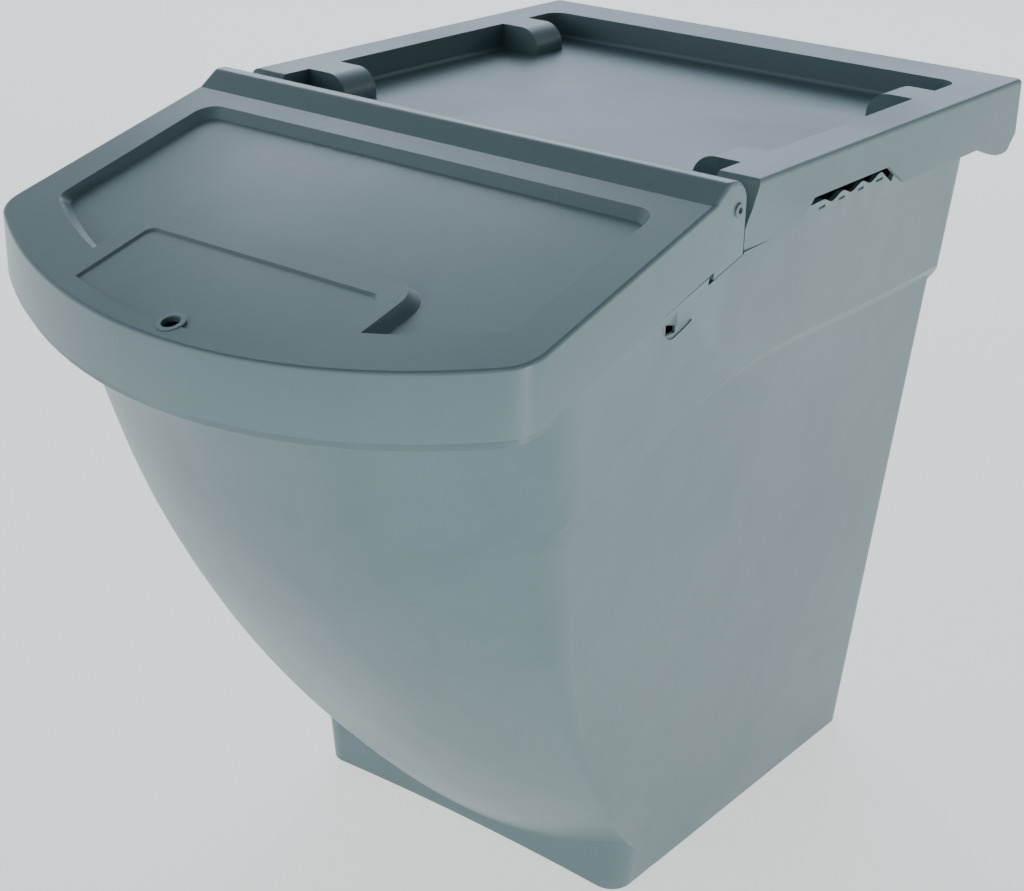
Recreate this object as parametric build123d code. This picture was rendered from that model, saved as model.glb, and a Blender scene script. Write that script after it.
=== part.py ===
from build123d import *
from math import cos, pi, sqrt
import os

# Pet food bin with a bowed hopper front, a pinned front lid and a stacking deck.
# Millimetres. Origin at the centre of the base on the floor, +Z up, front towards -Y.

# ---- wall and base ----
WALL = 3.0               # moulded wall thickness
FLOOR_T = 3.5            # thickness of the bin floor
BASE_HALF_X = 134.7      # half width of the base at the floor
BASE_HALF_Y = 152.0      # half length of the base
BASE_HOLLOW = 4.5        # how far the base front curves in at the middle
BASE_RISE = 64.0         # height over which the flat base front is carried up
SIDE_FLARE = 0.100       # sideways flare per mm of height at the rear
SIDE_FAN = 0.030         # extra flare per mm of height for every 300 mm forwards
REAR_R = 15.0            # upright corner radius at the rear
# hopper stations: height, y of the front corner, radius of that corner
STATIONS = [
    (0.0, -107.0, 4.0), (50.0, -153.0, 5.0), (100.0, -192.0, 6.0), (150.0, -225.0, 8.0),
    (200.0, -252.0, 13.0), (250.0, -274.0, 19.0), (300.0, -290.5, 25.0),
    (345.0, -302.0, 28.0), (395.0, -316.0, 28.0), (440.0, -331.0, 26.0), (500.0, -352.0, 26.0),
]
BOW_R_LOW = 300.0        # plan radius of the bowed front at the floor
BOW_R_RISE = 0.046       # growth of that radius per mm of height

# ---- stepped band round the upper walls ----
BAND_SIDE = 4.5          # how far the upper side walls stand proud
BAND_REAR = 3.0          # how far the upper rear wall stands proud
LEDGE_H = 6.5            # height of the sloping ledge under the band
LEDGE_LINE = [
    (260.0, 380.0), (120.0, 381.5), (0.0, 385.5), (-90.0, 389.5), (-160.0, 383.0),
    (-220.0, 369.5), (-290.0, 351.0), (-335.0, 338.0), (-460.0, 300.0),
]

# ---- lid ----
LID_M = 0.2711           # fall of the lid towards the front, mm per mm
LID_Y0 = -188.5          # foot of the hinge bar on the lid
LID_Z0 = 505.3           # height of the lid at that foot
LID_HALF_REAR = 201.5
LID_HALF_FRONT = 204.6
LID_Y_CORNER = -328.0
LID_BOW_R = 361.5        # plan radius of the lid front
LID_BOW_YC = -52.2       # its centre
LID_CORNER_R = 24.0
LID_EDGE_R = 2.2         # rounding of the lid crease
LID_T = 3.0
SKIRT_H = 38.7           # lid skirt height below the crease
RIM_BAND = 32.5          # width of the flat border inside the front crease
RECESS_DEPTH = 6.3
RECESS_HALF = 176.3
RECESS_REAR = -204.2
RECESS_RUN = 3.8         # sideways run of the recess walls at the sides and rear
RECESS_RUN_FRONT = 7.4   # the same at the bowed front
PLATEAU_HALF = 103.6
PLATEAU_REAR = -318.6
PLATEAU_RUN = 7.0
FIELD_HALF = 89.6
FIELD_REAR = -332.2
FIELD_DEPTH = 1.3
FIELD_BAND = 12.8
LOCK_Y = -399.6          # padlock hole
LOCK_R = 5.5
LIP_GAP = 1.8            # shadow gap between lid skirt and rim of the tub at the front
LIP_INSET = 2.6
LIP_T = 3.6
SEAM_GAP = 0.35

# ---- hinge ----
AXIS_Y = -164.3
AXIS_Z = 498.1
BAR_REAR = -155.0
BAR_TOP = 515.2
BAR_CROWN_Y = -174.0
CHEEK_BOTTOM = 471.3
CHEEK_STEP_Y = -185.4
PIN_R = 3.0
PIN_BORE_R = 2.0
PIN_HEAD_R = 4.2
PIN_HEAD_T = 1.1
RUN_FIT = 0.05
EAR_R = 7.0
EAR_IN = 190.6
COLLAR_HALF = 196.2      # outer half width of the collar behind the skirts

# ---- stacking deck ----
COVER_HALF = 200.0
COVER_TOP = 509.8
COVER_FRONT = -139.5
COVER_REAR = 198.4
COVER_SKIRT_Z = 471.8
COVER_T = 3.0
DECK_Z = 491.0
DECK_HALF = 171.5
DECK_REAR = 156.5
COLLAR_TOP = 485.0
LUG_HALF_IN = 138.0
LUG_NOSE_R = 16.0
LUG_SPANS = [(-116.0, -86.0), (92.0, 122.0)]
GRIP_TOP = 486.0
GRIP_Y = (-77.8, 11.6)
GRIP_FOOT_Y = (-93.5, 33.9)
WAVE_MID = 479.3
WAVE_AMP = 1.9
WAVE_PITCH = 25.5
WAVE_PEAK_Y = -63.5


def prism_x(points, x0, x1):
    """Closed side profile of (y, z) points carried along X."""
    face = make_face(Polyline(*[(0, y, z) for y, z in points], close=True))
    return Location((x0, 0, 0)) * extrude(face, x1 - x0, dir=(1, 0, 0))


def block(x0, x1, y0, y1, z0, z1):
    return Pos((x0 + x1) / 2, (y0 + y1) / 2, (z0 + z1) / 2) * Box(x1 - x0, y1 - y0, z1 - z0)


def half_width(y, z):
    return BASE_HALF_X + z * (SIDE_FLARE + SIDE_FAN * (BASE_HALF_Y - y) / 300.0)


def tub_section(z, y_corner, r_corner, inset, side=0.0, rear=0.0, front=0.0):
    """Plan outline of the tub at one height, inset by a wall, grown by side/rear/front."""
    x_rear = half_width(BASE_HALF_Y, z) + side - inset
    x_corner = half_width(y_corner, z)
    y_rear = BASE_HALF_Y + rear - inset
    bow = BOW_R_LOW + BOW_R_RISE * z
    y_mid = y_corner + sqrt(bow ** 2 - x_corner ** 2)
    x_front = x_corner + side - inset
    bow = bow - inset + front
    y_front = y_mid - sqrt(bow ** 2 - x_front ** 2)
    side_line = Polyline((-x_front, y_front), (-x_rear, y_rear), (x_rear, y_rear), (x_front, y_front))
    bow_line = ThreePointArc((x_front, y_front), (0, y_mid - bow), (-x_front, y_front))
    face = make_face([side_line, bow_line])
    rear_pts = face.vertices().sort_by(Axis.Y)[-2:]
    face = fillet(rear_pts, REAR_R + 0.5 * rear - inset)
    front_pts = [v for v in face.vertices() if abs(abs(v.X) - x_front) < 0.01 and v.Y < y_front + 0.01]
    face = fillet(front_pts, max(r_corner - inset, 1.2))
    return Pos(0, 0, z) * face


def tub_loft(stations, inset, side=0.0, rear=0.0, front=0.0):
    return loft([tub_section(z, y, r, inset, side, rear, front) for z, y, r in stations])


def base_block(z0, z1, inset):
    """Upright flat-fronted foot of the tub."""
    faces = []
    for z in (z0, z1):
        xr = half_width(BASE_HALF_Y, z) - inset - 0.25
        xf = half_width(-BASE_HALF_Y, z) - inset - 0.25
        y = BASE_HALF_Y - inset
        front = ThreePointArc((xf, -y), (0, -y + BASE_HOLLOW), (-xf, -y))
        rest = Polyline((-xf, -y), (-xr, y - 0.25), (xr, y - 0.25), (xf, -y))
        face = make_face([front, rest])
        face = fillet(face.vertices(), REAR_R - inset)
        faces.append(Pos(0, 0, z) * face)
    return loft(faces)


def under_ledge(lift):
    """Everything under the sloping ledge of the band, sides and rear together."""
    run = LEDGE_H / BAND_SIDE
    solids = []
    for s in (-1, 1):
        faces = []
        for out in (-40.0, 40.0):
            y_a, y_b = LEDGE_LINE[0][0], LEDGE_LINE[-1][0]
            x0 = half_width(y_a, LEDGE_LINE[0][1]) + BAND_SIDE / 2 + out
            x1 = half_width(y_b, LEDGE_LINE[-1][1]) + BAND_SIDE / 2 + out
            pts = []
            for y, z in LEDGE_LINE:
                x = half_width(y, z) + BAND_SIDE / 2 + out
                x_flat = x0 + (x1 - x0) * (y - y_a) / (y_b - y_a)
                pts.append((y, z + lift + run * (out - x + x_flat)))
            spline = Spline(*pts)
            z_a, z_b = pts[0][1], pts[-1][1]
            rest = Polyline((y_b, z_b), (y_b, 150), (y_a, 150), (y_a, z_a))
            flat = make_face([spline, rest])
            turn = s * (x0 - x1) / (y_a - y_b)
            plane = Plane(origin=(s * (x0 - turn * s * y_a), 0, 0), x_dir=(turn, 1, 0), z_dir=(1, -turn, 0))
            faces.append(plane * flat)
        solids.append(loft(faces, ruled=True))
    run = LEDGE_H / BAND_REAR
    y_mid = BASE_HALF_Y + BAND_REAR / 2
    z_mid = LEDGE_LINE[1][1] - 1.0 + lift
    back = prism_x([(y_mid - 30, 150), (y_mid + 30, 150), (y_mid + 30, z_mid + 30 * run),
                    (y_mid - 30, z_mid - 30 * run)], -260, 260)
    return solids + [back]


def lid_line(y, drop):
    return LID_Z0 + LID_M * (y - LID_Y0) - drop


def wave_points():
    """Scalloped upper edge of the tub wall inside the side grips."""
    top = WAVE_MID + WAVE_AMP
    pts = [(-82.3, top - 0.2)]
    for k in range(25):
        y = WAVE_PEAK_Y + k * WAVE_PITCH / 8
        pts.append((y, WAVE_MID + WAVE_AMP * cos(2 * pi * (y - WAVE_PEAK_Y) / WAVE_PITCH)))
    return pts + [(WAVE_PEAK_Y + 3 * WAVE_PITCH + 2.0, top - 0.2)]


def below_seam(drop, grips=True):
    """Region under the seam between tub and lid or deck, as a side profile."""
    z_deck = COVER_SKIRT_Z - SEAM_GAP - drop
    z_cheek = CHEEK_BOTTOM - 0.9 - drop
    pts = [(260, -5), (260, z_deck)]
    if grips:
        pts += [(GRIP_FOOT_Y[1] - 3.4, z_deck)]
        pts += wave_points()[::-1]
        pts += [(GRIP_FOOT_Y[0] + 0.7, z_deck)]
    pts += [(BAR_REAR + 0.7, z_deck), (BAR_REAR + 0.7, z_cheek)]
    y_notch = CHEEK_STEP_Y - 4.8
    pts += [(y_notch, z_cheek + LID_M * (y_notch - BAR_REAR))]
    pts += [(y_notch - 0.2, lid_line(y_notch - 0.2, SKIRT_H + SEAM_GAP + drop))]
    pts += [(-450, lid_line(-450, SKIRT_H + SEAM_GAP + drop)), (-450, -5)]
    return prism_x(pts, -260, 260)


def below_collar():
    """Region under the top of the inner collar, with the two hinge ears rising from it."""
    z_front = SKIRT_H - 16.0
    pts = [(260, -5), (260, COLLAR_TOP), (GRIP_FOOT_Y[1] + 3, COLLAR_TOP)]
    pts += [(GRIP_FOOT_Y[1] - 2, 470.0)] + wave_points()[::-1] + [(GRIP_FOOT_Y[0] + 2, 470.0)]
    pts += [(GRIP_FOOT_Y[0] - 3, COLLAR_TOP), (BAR_REAR - 6, COLLAR_TOP), (BAR_REAR - 20, 478.0)]
    pts += [(-205, 478.0), (-205, lid_line(-205, z_front)), (-450, lid_line(-450, z_front)), (-450, -5)]
    return prism_x(pts, -260, 260)


def lid_outline(inset, y_back):
    """Plan outline of the lid, inset inwards, closed at y_back."""
    slope = (LID_HALF_FRONT - LID_HALF_REAR) / (LID_Y0 - LID_Y_CORNER)
    bow = LID_BOW_R - inset
    x = LID_HALF_FRONT - inset
    y_front = LID_BOW_YC - sqrt(bow ** 2 - x ** 2)
    x_f = x + slope * (LID_Y_CORNER - y_front) * 0.3
    y_front = LID_BOW_YC - sqrt(bow ** 2 - x_f ** 2)
    x_b = LID_HALF_REAR - inset - slope * (y_back - LID_Y0) * 0.3
    sides = Polyline((-x_f, y_front), (-x_b, y_back), (x_b, y_back), (x_f, y_front))
    arc = ThreePointArc((x_f, y_front), (0, LID_BOW_YC - bow), (-x_f, y_front))
    face = make_face([sides, arc])
    pts = [v for v in face.vertices() if v.Y < y_front + 0.01]
    return fillet(pts, max(LID_CORNER_R - inset, 2.0))


def slanted(drop_top, drop_bottom, y0=-460.0, y1=-120.0):
    """Slab parallel to the lid between two depths under its crease."""
    return prism_x([(y0, lid_line(y0, drop_top)), (y1, lid_line(y1, drop_top)),
                    (y1, lid_line(y1, drop_bottom)), (y0, lid_line(y0, drop_bottom))], -260, 260)


def lid_prism(inset, y_back, drop_top, drop_bottom):
    plan = Pos(0, 0, 340) * lid_outline(inset, y_back)
    return extrude(plan, 220, dir=(0, 0, 1)) & slanted(drop_top, drop_bottom)


def build_body():
    outer = tub_loft(STATIONS, 0.0)
    outer += base_block(0.0, BASE_RISE, 0.0)
    band = tub_loft(STATIONS[6:], 0.0, BAND_SIDE, BAND_REAR, -0.4)
    for piece in under_ledge(0.0):
        band -= piece
    outer += band

    low = [(FLOOR_T, STATIONS[0][1] - 2.8, 4.0)] + STATIONS[1:]
    inner = tub_loft(low, WALL)
    inner += base_block(FLOOR_T, BASE_RISE - 2, WALL)
    band_in = tub_loft(STATIONS[6:], WALL, BAND_SIDE, BAND_REAR, -0.4)
    for piece in under_ledge(5.0):
        band_in -= piece
    inner += band_in

    # collar prism keeps the upstand clear of the skirts of lid and deck
    collar_plan = lid_outline(LID_T + 1.4, -150.0)
    collar = extrude(Pos(0, 0, 340) * collar_plan, 220, dir=(0, 0, 1))
    collar += block(-COLLAR_HALF, COLLAR_HALF, -170, 200, 340, 560)
    hollow_plan = lid_outline(LID_T + 1.4 + WALL, -150.0)
    hollow = extrude(Pos(0, 0, 340) * hollow_plan, 220, dir=(0, 0, 1))
    hollow += block(-COLLAR_HALF + WALL, COLLAR_HALF - WALL, -170, 200, 340, 560)

    shell = (outer & below_seam(0.0)) + (outer & collar & below_collar())

    # rim flange carried out to the lid outline
    flange = lid_prism(LIP_INSET, -200.0, SKIRT_H + LIP_GAP, SKIRT_H + LIP_GAP + LIP_T)
    flange &= block(-260, 260, -460, -330, 300, 560)
    shell -= lid_prism(-8.0, -330.0, SKIRT_H - 1, SKIRT_H + LIP_GAP) - lid_prism(LID_T + 1.4, -300.0, 0.0, 60.0)
    shell += flange

    cavity = (inner & below_seam(WALL + 0.5, grips=False)) + (inner & hollow)
    shell -= cavity

    # hinge ears rise from the collar, one inside each lid cheek
    for s in (-1, 1):
        ear = block(EAR_IN, COLLAR_HALF, AXIS_Y - EAR_R, AXIS_Y + EAR_R, 470.0, AXIS_Z)
        ear += Pos((EAR_IN + COLLAR_HALF) / 2, AXIS_Y, AXIS_Z) * Rot(0, 90, 0) * Cylinder(
            EAR_R, COLLAR_HALF - EAR_IN)
        ear += prism_x([(AXIS_Y - EAR_R, 484), (AXIS_Y - EAR_R, 470), (AXIS_Y - EAR_R - 12, 470)],
                       EAR_IN, COLLAR_HALF)
        if s < 0:
            ear = mirror(ear, Plane.YZ)
        shell += ear
        shell -= Pos(s * 193, AXIS_Y, AXIS_Z) * Rot(0, 90, 0) * Cylinder(PIN_R, 20)

    # catch on each side wall: boat shaped pocket, slot and small wedge
    for s in (-1, 1):
        for part, keep in catch(s):
            if keep:
                shell += part
            else:
                shell -= part

    # short finger grooves under the scallops of the side grips
    for s in (-1, 1):
        for k in range(4):
            y = WAVE_PEAK_Y + k * WAVE_PITCH
            x = half_width(y, 476) + BAND_SIDE
            shell -= Pos(s * x, y, 476.6) * Rot(0, 45, 0) * Box(1.7, 8.0 + 2.0 * (k == 3), 1.7)

    # padlock hole through the front flange
    shell -= Pos(0, LOCK_Y, 410) * Cylinder(LOCK_R, 60)
    return shell


def catch(s):
    """Boat pocket with a dark slot, and the small wedge above it, on one side wall."""
    y, z = -221.5, 444.2
    x = half_width(y, z) + BAND_SIDE
    boat = make_face(Spline((-12.5, 4.3), (-7.5, -2.6), (0, -6.2), (9, -4.4), (19.5, 0.2),
                            (10.0, 2.2), (3.0, 3.2), (-4.0, 4.6), (-12.5, 4.3)))
    plane = Plane(origin=(0, y, z), x_dir=(0, 1, 0), z_dir=(1, 0, 0))
    boat_cut = Pos(x - 1.5, 0, 0) * extrude(plane * boat, 8)
    slot = block(x - 6, x + 6, y - 4.6, y + 4.6, z - 3.4, z + 2.6)
    foot = Plane(origin=(x - 1.0, y, z + 2.6), x_dir=(0, 1, 0), z_dir=(0, 0, 1))
    tip = Plane(origin=(x + 0.4, y + 1.0, z + 13.0), x_dir=(0, 1, 0), z_dir=(0, 0, 1))
    nib = loft([foot * make_face(Polyline((-3.8, 0.8), (4.2, 0.8), (0.6, -3.6), close=True)),
                tip * make_face(Polyline((-0.5, 0.6), (0.5, 0.6), (0.0, -0.5), close=True))])
    if s < 0:
        boat_cut, slot, nib = [mirror(p, Plane.YZ) for p in (boat_cut, slot, nib)]
    return [(boat_cut, False), (slot, False), (nib, True)]


def bar_profile(inset, z_low, y_front):
    """Side profile of the hinge bar with its cheeks, as a face in the YZ plane."""
    y_r = BAR_REAR - inset
    top = BAR_TOP - inset
    foot = (LID_Y0, LID_Z0 - inset)
    pts = [(y_r, z_low), (y_r, top), (BAR_CROWN_Y, top), foot,
           (y_front, lid_line(y_front, inset)), (y_front, z_low + LID_M * (y_front - BAR_REAR))]
    face = make_face(Polyline(*[(0, y, z) for y, z in pts], close=True))
    corner = face.vertices().filter_by(lambda v: abs(v.Y - y_r) < 0.01).sort_by(Axis.Z)[-1]
    face = fillet(corner, 14.0 - inset)
    crown = [v for v in face.vertices() if abs(v.Y - BAR_CROWN_Y) < 0.01]
    face = fillet(crown, 6.0)
    return face


def recess_face(grow, grow_front):
    """Plan of the sunk panel of the lid, grown or shrunk all round."""
    r = LID_BOW_R - RIM_BAND + grow_front
    x = RECESS_HALF + grow
    y_r = RECESS_REAR + grow
    y_f = LID_BOW_YC - sqrt(r ** 2 - x ** 2)
    sides = Polyline((-x, y_f), (-x, y_r), (x, y_r), (x, y_f))
    arc = ThreePointArc((x, y_f), (0, LID_BOW_YC - r), (-x, y_f))
    face = make_face([sides, arc])
    return fillet(face.vertices(), 13.0 + max(grow, -5))


def plateau_face(grow):
    x = PLATEAU_HALF + grow
    face = make_face(Polyline((-x, -470), (x, -470), (x, PLATEAU_REAR + grow), (-x, PLATEAU_REAR + grow),
                              close=True))
    pts = face.vertices().sort_by(Axis.Y)[-2:]
    return fillet(pts, 14.0 + grow)


def on_lid(face, drop):
    """Carry a plan face vertically onto the sloping plane at a depth."""
    tall = extrude(Pos(0, 0, 300) * face, 300, dir=(0, 0, 1))
    cut = tall & slanted(drop, drop + 1.0)
    top = [f for f in cut.faces() if f.normal_at().Z > 0.9]
    return top[0]


def sunk(plan, grow_top, grow_low, drop_top, drop_low):
    """Solid between one plan face at a depth and the same face shrunk lower down."""
    return loft([on_lid(plan(grow_top), drop_top), on_lid(plan(grow_low), drop_low)], ruled=True)


def build_lid():
    def panel(grow):
        if grow < 0:
            return recess_face(grow, grow * RECESS_RUN_FRONT / RECESS_RUN)
        return recess_face(grow, grow)

    body = lid_prism(0.0, -181.0, 0.0, SKIRT_H)
    rim = [e for e in body.edges() if e.center().Y < -182 and abs(
        e.center().Z - lid_line(e.center().Y, 0.0)) < 0.2]
    body = fillet(rim, LID_EDGE_R)
    bar = extrude(bar_profile(0.0, CHEEK_BOTTOM, CHEEK_STEP_Y), LID_HALF_REAR, dir=(1, 0, 0), both=True)
    ends = [e for e in bar.edges() if abs(abs(e.center().X) - LID_HALF_REAR) < 0.01
            and e.center().Z > 506]
    bar = fillet(ends, 2.6)
    body += bar

    # sunk panel with sloping walls, standing clear of the front plateau
    pocket = sunk(panel, 0.6, -RECESS_RUN, -1.0, RECESS_DEPTH)
    stand = sunk(plateau_face, -1.1, PLATEAU_RUN + 1.1, -1.0, RECESS_DEPTH + 1.0)
    pocket -= stand
    body -= pocket

    # shallow marking field on the plateau
    def field(grow):
        r = LID_BOW_R - FIELD_BAND
        x = FIELD_HALF + grow
        y_f = LID_BOW_YC - sqrt(r ** 2 - x ** 2)
        sides = Polyline((-x, y_f), (-x, FIELD_REAR + grow), (x, FIELD_REAR + grow), (x, y_f))
        arc = ThreePointArc((x, y_f), (0, LID_BOW_YC - r), (-x, y_f))
        face = make_face([sides, arc])
        return fillet(face.vertices().sort_by(Axis.Y)[-2:], 6.0)

    body -= sunk(field, 0.4, -1.0, -0.3, FIELD_DEPTH)

    # hollow underside
    under = lid_prism(LID_T, -188.0, RECESS_DEPTH + LID_T, SKIRT_H + 5)
    rim_hollow = lid_prism(LID_T, -188.0, LID_T, RECESS_DEPTH + LID_T + 1)
    keep = sunk(panel, LID_T, -0.6, 0.0, RECESS_DEPTH + LID_T + 3)
    keep -= sunk(plateau_face, -LID_T - 1.1, PLATEAU_RUN - LID_T, LID_T, RECESS_DEPTH + LID_T + 4)
    rim_hollow -= keep
    bar_in = extrude(bar_profile(LID_T, 440.0, -192.0), LID_HALF_REAR - LID_T, dir=(1, 0, 0), both=True)
    bar_in -= keep
    body -= under
    body -= rim_hollow
    body -= bar_in

    # the rear of the bar is open below its lip, and slotted over the two ears
    half = LID_HALF_REAR - LID_T
    body -= block(-half, half, BAR_REAR - 8, BAR_REAR + 5, 460, 503.5)
    for s in (-1, 1):
        x0, x1 = sorted((s * (EAR_IN - 1.5), s * half))
        body -= block(x0, x1, AXIS_Y + 0.5, BAR_REAR + 5, 460, 511.0)

    # pin holes, padlock hole and its raised ring
    for s in (-1, 1):
        body -= Pos(s * 200, AXIS_Y, AXIS_Z) * Rot(0, 90, 0) * Cylinder(PIN_R + RUN_FIT, 12)
    ring = Pos(0, LOCK_Y, 440) * Cylinder(8.4, 60) & slanted(-0.4, 1.0)
    body += ring
    body -= Pos(0, LOCK_Y, 440) * Cylinder(LOCK_R, 60)
    return body


def cover_side_profile(inset, bottom_extra):
    """Side profile of the deck moulding: sloped front, rounded lobes at the rear grip."""
    z_b = COVER_SKIRT_Z - bottom_extra
    y_f = BAR_REAR + 1.5 + inset
    top = COVER_TOP - inset
    y_r = COVER_REAR - inset
    return [(y_f, z_b), (y_f, 484.0), (-150.2 + inset, 490.0), (-146.8 + inset, 495.0),
            (COVER_FRONT + inset, top), (y_r, top), (y_r, z_b)]


def build_cover():
    shape = prism_x(cover_side_profile(0.0, 0.0), -COVER_HALF, COVER_HALF)
    # lobes under the rear corners that end the rear hand grip
    lobe = make_face([Spline((122, 472.5), (140, 470.6), (156, 465.0), (170, 461.9), (180, 461.6)),
                      ThreePointArc((180, 461.6), (183.2, 462.3), (186.0, 464.4)),
                      Polyline((186.0, 464.4), (COVER_REAR, 477.2), (COVER_REAR, 480.0), (122, 480.0),
                               (122, 472.5))])
    lobe_plane = Plane(origin=(0, 0, 0), x_dir=(0, 1, 0), z_dir=(1, 0, 0))
    lobes = extrude(lobe_plane * lobe, COVER_HALF, both=True)
    shape += lobes
    rear_edges = [e for e in shape.edges().filter_by(Axis.Z) if e.center().Y > COVER_REAR - 1]
    shape = fillet(rear_edges, 5.0)
    top_edges = [e for e in shape.edges() if abs(e.center().Z - COVER_TOP) < 0.01]
    shape = fillet(top_edges, 3.0)

    # stacking recess, open towards the lid
    plan = make_face(Polyline((-DECK_HALF, -170), (DECK_HALF, -170), (DECK_HALF, DECK_REAR),
                              (-DECK_HALF, DECK_REAR), close=True))
    plan = fillet(plan.vertices().sort_by(Axis.Y)[-2:], 12.0)
    recess = extrude(Pos(0, 0, DECK_Z) * plan, 60)
    low = recess.faces().sort_by(Axis.Z)[0].edges()
    recess = fillet([e for e in low if e.center().Y > -169], 3.0)
    for y0, y1 in LUG_SPANS:
        for s in (-1, 1):
            recess -= lug(s, y0, y1, 0.0, DECK_Z - 5)
    shape -= recess
    shape -= block(-DECK_HALF, DECK_HALF, -170, -143.0, 440, 530)

    # hollow underside: below the deck floor, and up inside the rims
    t = COVER_T
    deep = block(-COVER_HALF + t, COVER_HALF - t, -200, COVER_REAR - t, 440, DECK_Z - t)
    rim_in = block(-COVER_HALF + t, COVER_HALF - t, COVER_FRONT + t + 4, COVER_REAR - t, 440, COVER_TOP - t)
    web_plan = make_face(Polyline((-DECK_HALF - t, -170), (DECK_HALF + t, -170), (DECK_HALF + t, DECK_REAR + t),
                                  (-DECK_HALF - t, DECK_REAR + t), close=True))
    web_plan = fillet(web_plan.vertices().sort_by(Axis.Y)[-2:], 15.0)
    web = extrude(Pos(0, 0, DECK_Z - t - 1) * web_plan, 60)
    for y0, y1 in LUG_SPANS:
        for s in (-1, 1):
            web -= lug(s, y0 + t, y1 - t, t, DECK_Z - t - 2)
    rim_in -= web
    shape -= deep
    shape -= rim_in
    front_wall = block(-COVER_HALF + 1, COVER_HALF - 1, BAR_REAR + 1.5, BAR_REAR + 4.5, 440, 488)
    shape -= block(-COLLAR_HALF - 0.6, COLLAR_HALF + 0.6, -160, -143.0, 440, 489)

    # front stiffening flange and landing ribs that stand on the collar of the tub
    shape += block(-DECK_HALF - t, DECK_HALF + t, -143.0, -140.0, 474.0, DECK_Z - 1)
    for y in (-120.0, 60.0, 125.0):
        for s in (-1, 1):
            x0, x1 = sorted((s * (DECK_HALF + 1), s * (COVER_HALF - 1)))
            shape += block(x0, x1, y - 1.5, y + 1.5, COLLAR_TOP, COVER_TOP - 1.5)
    for x in (-110.0, 0.0, 110.0):
        shape += block(x - 1.5, x + 1.5, 146.0, DECK_REAR + 1, COLLAR_TOP, DECK_Z - 1)

    # hand grips cut up into the side skirts
    grip = [(GRIP_FOOT_Y[0], COVER_SKIRT_Z), (GRIP_Y[0], GRIP_TOP), (GRIP_Y[1], GRIP_TOP),
            (GRIP_FOOT_Y[1], COVER_SKIRT_Z), (GRIP_FOOT_Y[1], 440), (GRIP_FOOT_Y[0], 440)]
    cut = prism_x(grip, -260, 260)
    cut -= block(-COVER_HALF + COVER_T + 0.5, COVER_HALF - COVER_T - 0.5, -300, 300, 400, 600)
    shape -= cut
    return shape


def lug(s, y0, y1, inset, z0):
    """Stacking lug: flat top at rim height with a quarter-round nose towards the middle."""
    top = COVER_TOP - inset
    x_in = LUG_HALF_IN + inset
    r = LUG_NOSE_R - inset
    pts = Polyline((x_in + r, top), (DECK_HALF + 8, top), (DECK_HALF + 8, z0), (x_in, z0), (x_in, top - r))
    arc = ThreePointArc((x_in, top - r), (x_in + r * (1 - sqrt(0.5)), top - r * (1 - sqrt(0.5))),
                        (x_in + r, top))
    face = make_face([pts, arc])
    plane = Plane(origin=(0, y0, 0), x_dir=(1, 0, 0), z_dir=(0, -1, 0))
    solid = extrude(plane * face, -(y1 - y0))
    if s < 0:
        solid = mirror(solid, Plane.YZ)
    return solid


def build_pin(s):
    """Hollow headed hinge pin, head outside the lid cheek."""
    x_head = LID_HALF_REAR + 0.25
    x_end = EAR_IN - 1.6
    pin = Pos((x_head + x_end) / 2, 0, 0) * Rot(0, 90, 0) * Cylinder(PIN_R, x_head - x_end)
    head = Pos(x_head + PIN_HEAD_T / 2, 0, 0) * Rot(0, 90, 0) * Cylinder(PIN_HEAD_R, PIN_HEAD_T)
    rim = head.edges().filter_by(GeomType.CIRCLE).sort_by(Axis.X)[-1]
    head = fillet(rim, 0.6)
    pin += head
    pin -= Pos((x_head + x_end) / 2, 0, 0) * Rot(0, 90, 0) * Cylinder(PIN_BORE_R, x_head - x_end + 8)
    # rolled-over inner end that keeps the pin in its ear
    flare = Pos(x_end + 0.6, 0, 0) * Rot(0, 90, 0) * Cylinder(PIN_R + 0.9, 1.2)
    flare -= Pos(x_end + 0.6, 0, 0) * Rot(0, 90, 0) * Cylinder(PIN_BORE_R, 4)
    pin += flare
    if s < 0:
        pin = mirror(pin, Plane.YZ)
    return Pos(0, AXIS_Y, AXIS_Z) * pin


def main():
    os.makedirs("parts", exist_ok=True)
    pieces = {
        "body_shell": build_body(),
        "rear_cover": build_cover(),
        "front_lid": build_lid(),
        "hinge_pin_right": build_pin(1),
        "hinge_pin_left": build_pin(-1),
    }
    for name, shape in pieces.items():
        solids = shape.solids()
        if len(solids) > 1:
            shape = sorted(solids, key=lambda q: q.volume)[-1]
        export_step(shape, "parts/" + name + ".step")


main()
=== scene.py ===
import math
import bpy
from mathutils import Matrix, Vector

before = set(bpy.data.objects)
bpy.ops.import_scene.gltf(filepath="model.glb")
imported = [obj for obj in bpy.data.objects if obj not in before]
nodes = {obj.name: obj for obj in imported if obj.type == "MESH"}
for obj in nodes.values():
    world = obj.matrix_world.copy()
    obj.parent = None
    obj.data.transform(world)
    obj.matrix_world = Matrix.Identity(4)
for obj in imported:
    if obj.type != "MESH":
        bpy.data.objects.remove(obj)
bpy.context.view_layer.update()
scene = bpy.context.scene

# ---- camera: same angle, distance and framing as the product view ----
AZ, EL, ROLL = math.radians(38.122), math.radians(23.821), math.radians(1.261)
LENS = 67.60
EYE = Vector((0.7344, -1.0402, 0.8035))

# ---- room: pale walls, dim ceiling, brighter towards the left rear ----
WALL_LIGHT = (0.80, 0.90, 1.0)
CEILING_LIGHT = (0.10, 0.115, 0.13)
WALL_TO, CEILING_FROM = 0.40, 0.99   # sine of the elevation where walls end and ceiling starts
BRIGHT_SIDE = (-0.88, 0.47, 0.0)
BRIGHT_FROM = 0.90                   # how squarely a wall faces that side to be fully bright
ROOM_DIM, ROOM_BRIGHT = 0.05, 1.10

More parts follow.
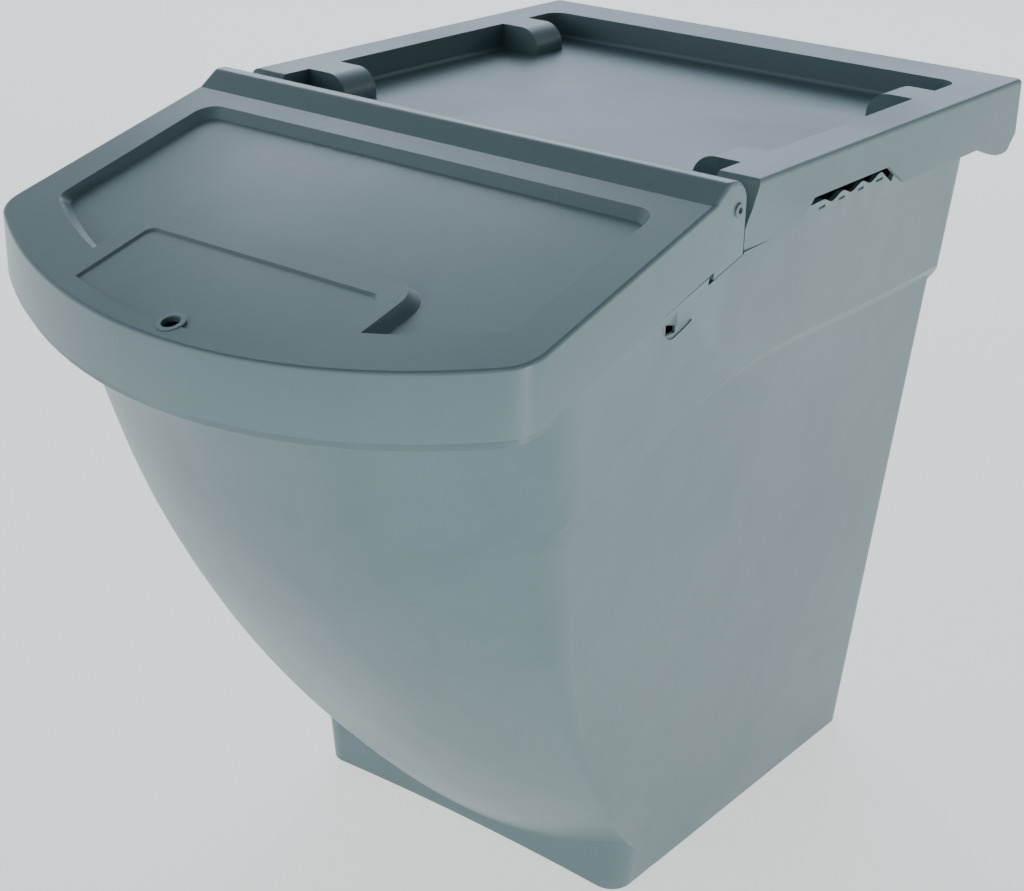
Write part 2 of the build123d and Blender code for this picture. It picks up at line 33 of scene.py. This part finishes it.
# ---- soft boxes: name, place, aim, size, watts, tint ----
WHITE = (1.0, 1.0, 1.0)
COOL = (0.72, 0.86, 1.0)
SOFT_BOXES = (
    ("front_soft", (-0.9, -2.4, 0.9), (0, -0.1, 0.25), (1.9, 0.9), 8, WHITE),
    ("corner_strip", (1.9, -0.75, 0.30), (0.19, -0.34, 0.42), (0.12, 0.35), 13, WHITE),
    ("edge_soft", (2.0, 2.9, 1.3), (0, 0.0, 0.4), (1.1, 0.8), 5, WHITE),
    ("back_soft", (-1.9, 2.6, 2.2), (0, 0.1, 0.5), (3.2, 1.8), 52, COOL),
)
FLOOR_SIZE = 16
FLOOR_TONE = 0.80
FLOOR_GLOW = 0.90

# ---- plastics ----
LID_TONE = (0.138, 0.212, 0.222)     # lid and deck cover
TUB_TONE = (0.130, 0.201, 0.211)
PIN_TONE = (0.15, 0.20, 0.215)
PANEL_PAINTED_SHEEN = (1.10, 1.09, 1.10)      # painted sheen: the lid's sunk panel is tinted a little paler, standing in for the brighter reflection it catches
LID_FALL = 0.2711                    # slope of the lid, and its height carried back to y = 0
LID_HEIGHT = 0.5053 + LID_FALL * 0.1885


def place_camera():
    back = Vector((math.sin(AZ) * math.cos(EL), -math.cos(AZ) * math.cos(EL), math.sin(EL)))
    right = Vector((math.cos(AZ), math.sin(AZ), 0.0))
    up = back.cross(right)
    r = right * math.cos(ROLL) + up * math.sin(ROLL)
    u = up * math.cos(ROLL) - right * math.sin(ROLL)
    data = bpy.data.cameras.new("view")
    data.sensor_fit = "HORIZONTAL"
    data.sensor_width = 36.0
    data.lens = LENS
    data.clip_start = 0.05
    data.clip_end = 60.0
    cam = bpy.data.objects.new("view", data)
    scene.collection.objects.link(cam)
    cam.matrix_world = Matrix((
        (r.x, u.x, back.x, EYE.x),
        (r.y, u.y, back.y, EYE.y),
        (r.z, u.z, back.z, EYE.z),
        (0, 0, 0, 1)))
    scene.camera = cam


def area_light(name, place, aim, size, power, tint):
    data = bpy.data.lights.new(name, "AREA")
    data.shape = "RECTANGLE"
    data.size, data.size_y = size
    data.energy = power
    data.color = tint
    obj = bpy.data.objects.new(name, data)
    obj.location = place
    obj.rotation_euler = (Vector(aim) - Vector(place)).to_track_quat("-Z", "Y").to_euler()
    scene.collection.objects.link(obj)


def sky_world():
    """White walls low down, a darker ceiling overhead."""
    world = bpy.data.worlds.new("studio")
    world.use_nodes = True
    tree = world.node_tree
    n, link = tree.nodes, tree.links
    coord = n.new("ShaderNodeTexCoord")
    split = n.new("ShaderNodeSeparateXYZ")
    link.new(coord.outputs["Generated"], split.inputs[0])
    ramp = n.new("ShaderNodeValToRGB")
    stops = ramp.color_ramp.elements
    stops[0].position, stops[0].color = 0.0, (*WALL_LIGHT, 1)
    stops[1].position, stops[1].color = 1.0, (*CEILING_LIGHT, 1)
    for at, tone in ((WALL_TO, WALL_LIGHT), (CEILING_FROM, CEILING_LIGHT)):
        stop = stops.new(at)
        stop.color = (*tone, 1)
    link.new(split.outputs["Z"], ramp.inputs["Fac"])
    # the room is brighter on one side than on the other
    aim = n.new("ShaderNodeVectorMath")
    aim.operation = "DOT_PRODUCT"
    aim.inputs[1].default_value = BRIGHT_SIDE
    link.new(coord.outputs["Generated"], aim.inputs[0])
    side = n.new("ShaderNodeMapRange")
    side.inputs["From Min"].default_value = -1.0
    side.inputs["From Max"].default_value = BRIGHT_FROM
    side.inputs["To Min"].default_value = ROOM_DIM
    side.inputs["To Max"].default_value = ROOM_BRIGHT
    link.new(aim.outputs["Value"], side.inputs["Value"])
    bg = n["Background"]
    link.new(side.outputs[0], bg.inputs["Strength"])
    link.new(ramp.outputs["Color"], bg.inputs["Color"])
    scene.world = world


def studio():
    sky_world()
    for box in SOFT_BOXES:
        area_light(*box)
    bpy.ops.mesh.primitive_plane_add(size=FLOOR_SIZE, location=(0, 0, 0))
    floor = bpy.context.object
    floor.name = "studio_floor"
    mat = bpy.data.materials.new("studio_floor")
    mat.use_nodes = True
    shader = mat.node_tree.nodes["Principled BSDF"]
    shader.inputs["Base Color"].default_value = (FLOOR_TONE, FLOOR_TONE, FLOOR_TONE, 1)
    shader.inputs["Roughness"].default_value = 0.9
    shader.inputs["Emission Color"].default_value = (1, 1, 1, 1)
    shader.inputs["Emission Strength"].default_value = FLOOR_GLOW
    floor.data.materials.append(mat)


def plastic(name, base, rough, grain=1400.0, grain_depth=0.00003, blotch=0.06, tone=0.05, seed=0.0,
            painted_sheen_mask=None):
    """Moulded polypropylene: fine grain, cloudy sheen, faint flow tone, softly paler edges."""
    mat = bpy.data.materials.new(name)
    mat.use_nodes = True
    tree = mat.node_tree
    n, link = tree.nodes, tree.links
    shader = n["Principled BSDF"]
    shader.inputs["IOR"].default_value = 1.49
    coord = n.new("ShaderNodeTexCoord")
    move = n.new("ShaderNodeMapping")
    move.inputs["Location"].default_value = (seed, seed * 0.7, seed * 1.3)
    link.new(coord.outputs["Object"], move.inputs["Vector"])

    def noise(scale, detail, rough_in, distort=0.0):
        t = n.new("ShaderNodeTexNoise")
        t.inputs["Scale"].default_value = scale
        t.inputs["Detail"].default_value = detail
        t.inputs["Roughness"].default_value = rough_in
        t.inputs["Distortion"].default_value = distort
        link.new(move.outputs["Vector"], t.inputs["Vector"])
        return t

    def ramp(src, lo, hi, a, b):
        m = n.new("ShaderNodeMapRange")
        m.inputs["From Min"].default_value = lo
        m.inputs["From Max"].default_value = hi
        m.inputs["To Min"].default_value = a
        m.inputs["To Max"].default_value = b
        link.new(src, m.inputs["Value"])
        return m

    cloud = noise(5.5, 3.0, 0.5, 0.4)
    flow = noise(16.0, 4.0, 0.6, 1.2)
    fine = noise(grain, 2.0, 0.6)
    speck = noise(grain * 0.35, 3.0, 0.55)

    # colour: flow tone and fine speckle round the base colour
    mix = n.new("ShaderNodeMix")
    mix.data_type = "RGBA"
    lo = [c * (1.0 - tone) for c in base]
    hi = [min(1.0, c * (1.0 + tone)) for c in base]
    mix.inputs[6].default_value = (*lo, 1)
    mix.inputs[7].default_value = (*hi, 1)
    both = n.new("ShaderNodeMath")
    both.operation = "ADD"
    a = ramp(flow.outputs["Fac"], 0.3, 0.7, 0.1, 0.7)
    b = ramp(speck.outputs["Fac"], 0.3, 0.7, 0.0, 0.3)
    link.new(a.outputs[0], both.inputs[0])
    link.new(b.outputs[0], both.inputs[1])
    link.new(both.outputs[0], mix.inputs[0])

    # paler, handled edges
    geo = n.new("ShaderNodeNewGeometry")
    edge = ramp(geo.outputs["Pointiness"], 0.53, 0.62, 0.0, 0.35)
    worn = n.new("ShaderNodeMix")
    worn.data_type = "RGBA"
    link.new(edge.outputs[0], worn.inputs[0])
    link.new(mix.outputs[2], worn.inputs[6])
    worn.inputs[7].default_value = (*[min(1.0, c * 1.45 + 0.02) for c in base], 1)
    colour = worn.outputs[2]
    # painted sheen: where the mask is on, the colour is multiplied paler to stand in for the
    # brighter reflection on the lid's sunk panel
    if painted_sheen_mask:
        mask = painted_sheen_mask(n, link, coord)
        paler = n.new("ShaderNodeMix")
        paler.data_type = "RGBA"
        paler.blend_type = "MULTIPLY"
        paler.inputs[7].default_value = (*PANEL_PAINTED_SHEEN, 1)
        link.new(mask, paler.inputs[0])
        link.new(colour, paler.inputs[6])
        colour = paler.outputs[2]
    link.new(colour, shader.inputs["Base Color"])

    r = ramp(cloud.outputs["Fac"], 0.3, 0.7, rough - blotch, rough + blotch)
    link.new(r.outputs[0], shader.inputs["Roughness"])

    bump_fine = n.new("ShaderNodeBump")
    bump_fine.inputs["Strength"].default_value = 0.55
    bump_fine.inputs["Distance"].default_value = grain_depth
    link.new(fine.outputs["Fac"], bump_fine.inputs["Height"])
    bump_flow = n.new("ShaderNodeBump")
    bump_flow.inputs["Strength"].default_value = 0.30
    bump_flow.inputs["Distance"].default_value = 0.0008
    link.new(cloud.outputs["Fac"], bump_flow.inputs["Height"])
    link.new(bump_fine.outputs["Normal"], bump_flow.inputs["Normal"])
    link.new(bump_flow.outputs["Normal"], shader.inputs["Normal"])
    return mat


def sunk_panel(n, link, coord):
    """Mask of the lid's sunk panel, where the painted sheen goes: the faces a few mm under the
    plane of its border.
    """
    split = n.new("ShaderNodeSeparateXYZ")
    link.new(coord.outputs["Object"], split.inputs[0])
    plane = n.new("ShaderNodeMath")
    plane.operation = "MULTIPLY_ADD"
    plane.inputs[1].default_value = -LID_FALL
    link.new(split.outputs["Y"], plane.inputs[0])
    link.new(split.outputs["Z"], plane.inputs[2])
    depth = n.new("ShaderNodeMapRange")
    depth.inputs["From Min"].default_value = LID_HEIGHT - 0.0025
    depth.inputs["From Max"].default_value = LID_HEIGHT - 0.0048
    link.new(plane.outputs[0], depth.inputs["Value"])
    facing = n.new("ShaderNodeSeparateXYZ")
    link.new(coord.outputs["Normal"], facing.inputs[0])
    up = n.new("ShaderNodeMapRange")
    up.inputs["From Min"].default_value = 0.80
    up.inputs["From Max"].default_value = 0.94
    link.new(facing.outputs["Z"], up.inputs["Value"])
    both = n.new("ShaderNodeMath")
    both.operation = "MULTIPLY"
    link.new(depth.outputs[0], both.inputs[0])
    link.new(up.outputs[0], both.inputs[1])
    return both.outputs[0]


def dress(node, mat):
    obj = nodes[node]
    obj.data.materials.clear()
    obj.data.materials.append(mat)
    for p in obj.data.polygons:
        p.use_smooth = True


place_camera()
studio()
dress("body_shell", plastic("body_plastic", TUB_TONE, 0.37, tone=0.09, seed=0.3))
dress("rear_cover", plastic("cover_plastic", LID_TONE, 0.40, seed=2.1))
dress("front_lid", plastic("lid_plastic", LID_TONE, 0.31, seed=4.7, painted_sheen_mask=sunk_panel))
pin = plastic("pin_plastic", PIN_TONE, 0.38, seed=6.2)
dress("hinge_pin_right", pin)
dress("hinge_pin_left", pin)
